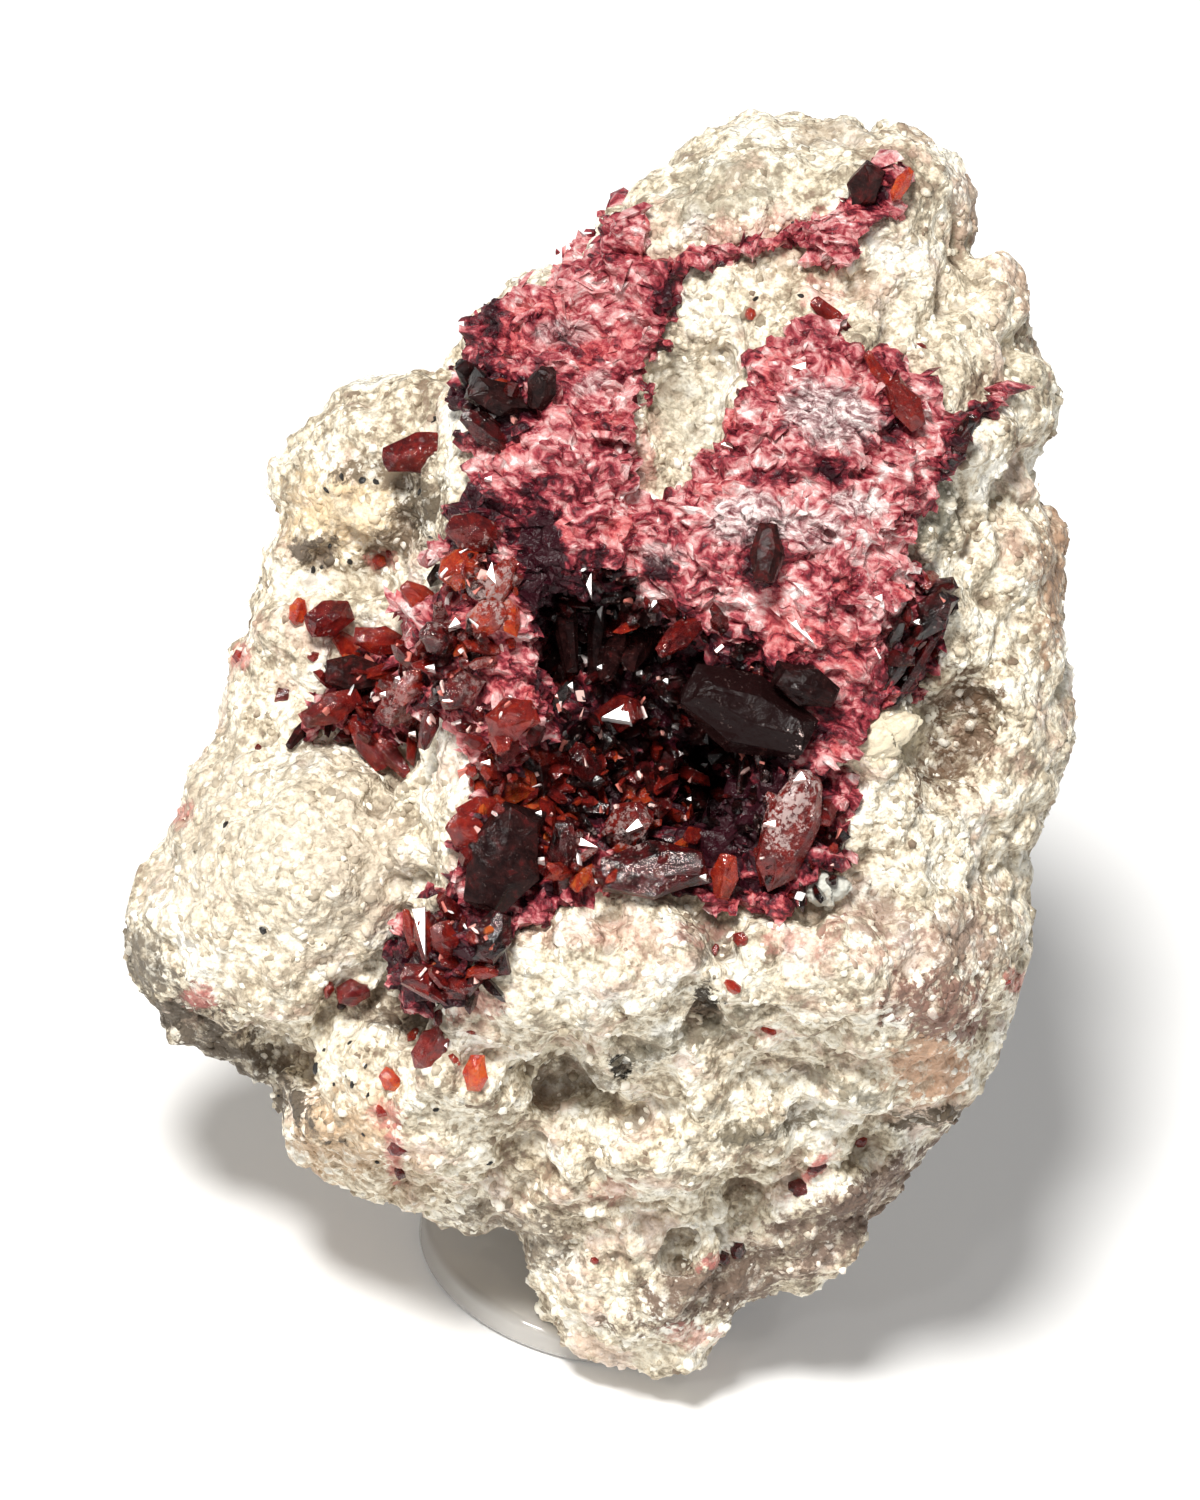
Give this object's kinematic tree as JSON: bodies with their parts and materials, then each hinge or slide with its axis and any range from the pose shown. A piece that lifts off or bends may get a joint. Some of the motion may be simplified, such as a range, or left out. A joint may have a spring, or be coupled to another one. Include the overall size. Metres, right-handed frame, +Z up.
{
  "type": "roselite mineral specimen on a clear round base",
  "caption": "Block of pale granular rock with a pocket lined by wine-red roselite crystals and a band of pink massive roselite, upright on a small clear disc.",
  "frame": {"origin": "centre of the clear base's underside", "axes": "+Z up, +X to the viewer's right, the crystal face looks towards -Y and up"},
  "size_m": [0.0337, 0.0296, 0.0497],
  "materials": {
    "rock": "rough granular",
    "roselite": "glassy wine-red crystals, pink where massive",
    "clear_acrylic": "clear, slightly smoky"
  },
  "bodies": {
    "root": {"matrix": "rock", "roselite_crust": "roselite", "crystal_upper_left": "roselite", "crystal_left": "roselite", "crystal_left_edge": "roselite", "crystal_lower_left": "roselite", "crystal_lower_middle": "roselite", "crystal_lower_right": "roselite", "crystal_lowest": "roselite", "base_disc": "clear_acrylic"}
  },
  "joints": []
}
